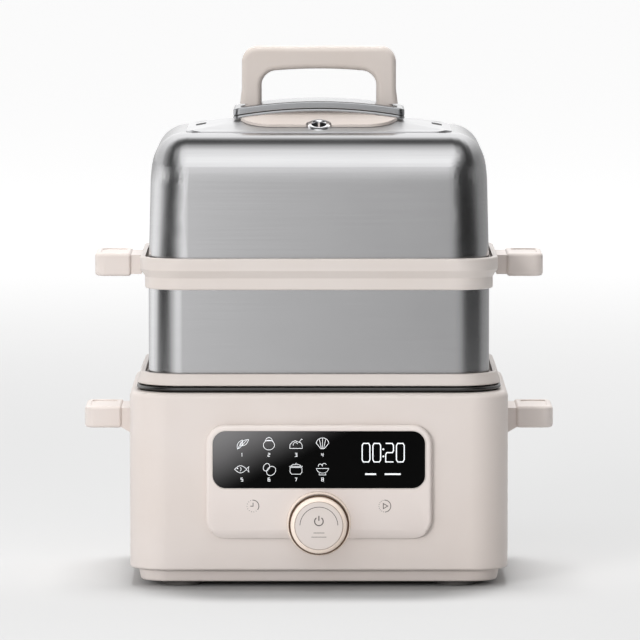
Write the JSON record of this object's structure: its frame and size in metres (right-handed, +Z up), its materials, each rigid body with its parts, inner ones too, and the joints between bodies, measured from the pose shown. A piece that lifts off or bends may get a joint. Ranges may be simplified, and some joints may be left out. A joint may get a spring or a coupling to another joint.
{
  "type": "electric food steamer",
  "caption": "Stacked electric steamer: heated base with lit control panel and turning knob, lift-out pot, steel steaming tier with tray, and a domed steel lid with a loop handle.",
  "frame": {"origin": "on the table, under the middle of the whole appliance's box", "axes": "+Z up, the control panel faces -Y, +X to the user's right"},
  "size_m": [0.368, 0.2536, 0.4157],
  "materials": {
    "cream_plastic": "satin moulded polypropylene",
    "pale_rim_plastic": "satin moulded polypropylene",
    "brushed_sheet": "fine brushed stainless sheet",
    "polished_trim": "polished",
    "knob_metal": "dark bronze, finely knurled",
    "dark_seal": "matt silicone",
    "foot_rubber": "matt",
    "black_glass": "gloss black, printed from behind",
    "black_moulding": "fine grain",
    "board_laminate": "coated",
    "cast_heater": "machined face",
    "heater_tube": "oxidised",
    "well_sheet": "bright drawn",
    "white_insulator": "glazed",
    "screw_steel": "zinc plated",
    "contact_brass": "bright"
  },
  "bodies": {
    "base": {"base_housing": "cream_plastic", "bottom_cover": "cream_plastic", "rubber_feet": "foot_rubber", "base_screws": "screw_steel", "base_handle_left": "cream_plastic", "base_handle_right": "cream_plastic", "handle_screws": "screw_steel", "base_gasket": "dark_seal", "pot_well": "well_sheet", "heating_plate": "cast_heater", "heating_element": "heater_tube", "heater_posts": "white_insulator", "thermal_fuse": "white_insulator", "sensor_spring": "screw_steel", "control_panel": "cream_plastic", "display_glass": "black_glass", "display_module": "black_moulding", "control_board": "board_laminate", "touch_springs": "contact_brass", "rotary_encoder": "black_moulding", "power_board": "board_laminate", "power_inlet": "black_moulding", "inlet_pins": "contact_brass"},
    "knob": {"knob_core": "cream_plastic", "knob_ring": "knob_metal", "knob_cap": "cream_plastic", "encoder_shaft": "screw_steel"},
    "sensor": {"sensor_cap": "cast_heater"},
    "pot": {"inner_pot": "brushed_sheet", "pot_ring": "pale_rim_plastic"},
    "tier": {"steamer_shell": "brushed_sheet", "tier_ring": "pale_rim_plastic", "tier_handle_left": "cream_plastic", "tier_handle_right": "cream_plastic"},
    "tray": {"steam_tray": "brushed_sheet"},
    "lid": {"lid_shell": "brushed_sheet", "handle_base": "cream_plastic", "lid_handle": "cream_plastic", "steam_guard": "brushed_sheet", "vent_eyelet": "polished_trim", "lid_screws": "screw_steel"}
  },
  "joints": [
    {"name": "knob_turn", "type": "hinge", "parent": "base", "child": "knob", "pos_m": [0, -0.10525, 0.0515], "axis": [0, 1, 0], "continuous": true},
    {"name": "sensor_press", "type": "slide", "parent": "base", "child": "sensor", "axis": [0, 0, 1], "range_m": [-0.002, 0], "stiffness_N_per_m": 800, "springref_m": 0.003, "deforming": ["sensor_spring"]},
    {"name": "pot_lift", "type": "slide", "parent": "base", "child": "pot", "axis": [0, 0, 1], "range_m": [0, 0.13]},
    {"name": "tier_lift", "type": "slide", "parent": "pot", "child": "tier", "axis": [0, 0, 1], "range_m": [0, 0.1]},
    {"name": "tray_lift", "type": "slide", "parent": "tier", "child": "tray", "axis": [0, 0, 1], "range_m": [0, 0.095]},
    {"name": "lid_lift", "type": "slide", "parent": "tier", "child": "lid", "axis": [0, 0, 1], "range_m": [0, 0.12]}
  ]
}
